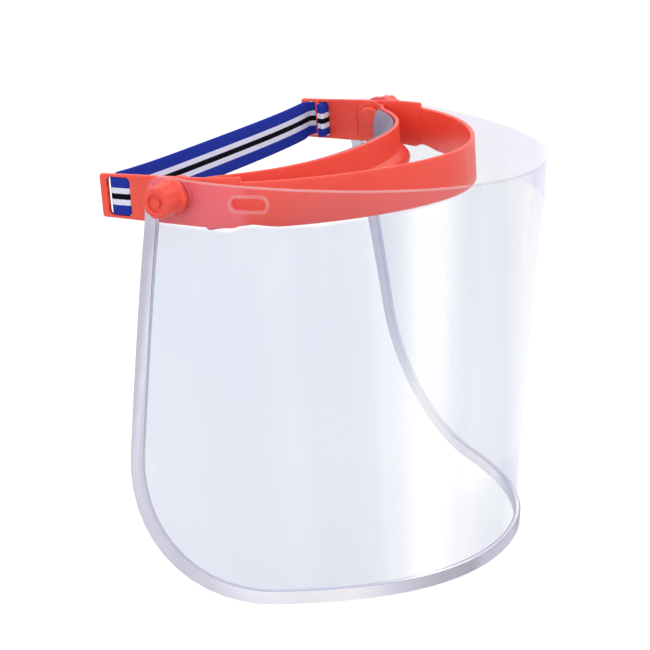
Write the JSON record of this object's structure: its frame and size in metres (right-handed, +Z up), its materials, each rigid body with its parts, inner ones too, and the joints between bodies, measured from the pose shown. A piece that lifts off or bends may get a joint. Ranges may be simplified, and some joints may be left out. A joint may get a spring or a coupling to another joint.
{
  "type": "face shield",
  "caption": "Clear flip-up face shield visor with metal edge binding on a moulded hoop, padded brow band, clamp knobs and elastic head strap.",
  "frame": {"origin": "midway between the two visor pivots, on their common axis", "axes": "+X towards the wearer's left along the pivot axis, -Y the way the wearer faces, +Z up"},
  "size_m": [0.2626, 0.1864, 0.2132],
  "materials": {
    "moulding": "satin injection-moulded plastic",
    "foam": "soft open-cell foam",
    "visor": "clear polished sheet",
    "binding": "satin",
    "elastic": "woven elastic with blue, white and black stripes",
    "spring_steel": "bright",
    "brass": "machined"
  },
  "bodies": {
    "frame": {"outer_band": "moulding", "head_strap": "elastic", "pivot_bolt_left": "moulding", "pivot_bolt_right": "moulding", "friction_washer_left": "moulding", "friction_washer_right": "moulding"},
    "brow": {"brow_band": "moulding", "brow_pad": "foam"},
    "visor": {"visor_sheet": "visor", "edge_binding": "binding", "clamp_washer_left": "moulding", "clamp_washer_right": "moulding"},
    "left_knob": {"knob_left": "moulding", "knob_insert_left": "brass", "spring_washer_left": "spring_steel"},
    "right_knob": {"knob_right": "moulding", "knob_insert_right": "brass", "spring_washer_right": "spring_steel"}
  },
  "joints": [
    {"name": "visor_flip", "type": "hinge", "parent": "frame", "child": "visor", "pos_m": [0, 0, 0], "axis": [-1, 0, 0], "range_deg": [-5, 100]},
    {"name": "brow_tilt", "type": "hinge", "parent": "frame", "child": "brow", "pos_m": [0, 0, 0], "axis": [-1, 0, 0], "range_deg": [-15, 15]},
    {"name": "knob_left_turn", "type": "hinge", "parent": "frame", "child": "left_knob", "pos_m": [0.107, 0, 0], "axis": [1, 0, 0], "continuous": true},
    {"name": "knob_right_turn", "type": "hinge", "parent": "frame", "child": "right_knob", "pos_m": [-0.107, 0, 0], "axis": [-1, 0, 0], "continuous": true}
  ]
}
